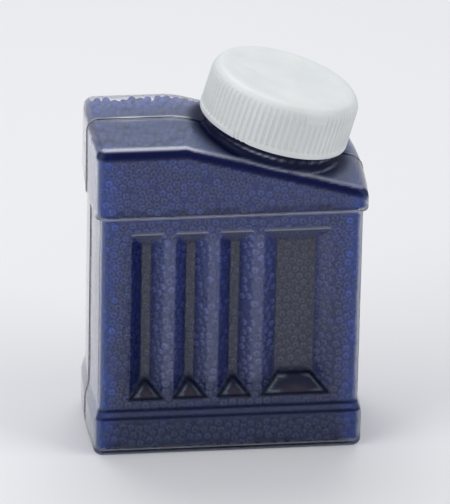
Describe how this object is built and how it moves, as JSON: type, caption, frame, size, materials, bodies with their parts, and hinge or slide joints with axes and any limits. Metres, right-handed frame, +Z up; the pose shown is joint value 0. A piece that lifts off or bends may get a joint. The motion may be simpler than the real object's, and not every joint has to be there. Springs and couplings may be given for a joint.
{
  "type": "bead-filled storage bottle",
  "caption": "Clear moulded bottle with a leaning wide neck and grip channels, full of loose blue drying beads, closed by a ribbed screw cap with a liner.",
  "frame": {"origin": "middle of the base, on the surface the bottle stands on", "axes": "+Z up; +X along the width towards the low end of the shoulder, which the neck leans towards; the mould's parting plane is the XZ plane and the front panel faces -Y"},
  "size_m": [0.1028, 0.0562, 0.1468],
  "materials": {
    "clear_plastic": "clear, glossy",
    "beads": "glassy blue beads",
    "liner": "foamed white",
    "cap_plastic": "satin off-white"
  },
  "bodies": {
    "bottle": {"bottle": "clear_plastic", "bead_bed": "beads"},
    "liner": {"cap_liner": "liner"},
    "cap": {"cap": "cap_plastic"}
  },
  "joints": [
    {"name": "cap_lift", "type": "slide", "parent": "bottle", "child": "liner", "axis": [0.2706, 0, 0.9627], "range_m": [0, 0.0053]},
    {"name": "cap_turn", "type": "hinge", "parent": "liner", "child": "cap", "pos_m": [0.0174, 0, 0.1216], "axis": [0.2706, 0, 0.9627], "range_deg": [0, 450]}
  ],
  "couplings": [
    {"joint": "cap_lift", "follows": "cap_turn", "m_per_rad": 0.0006737}
  ]
}
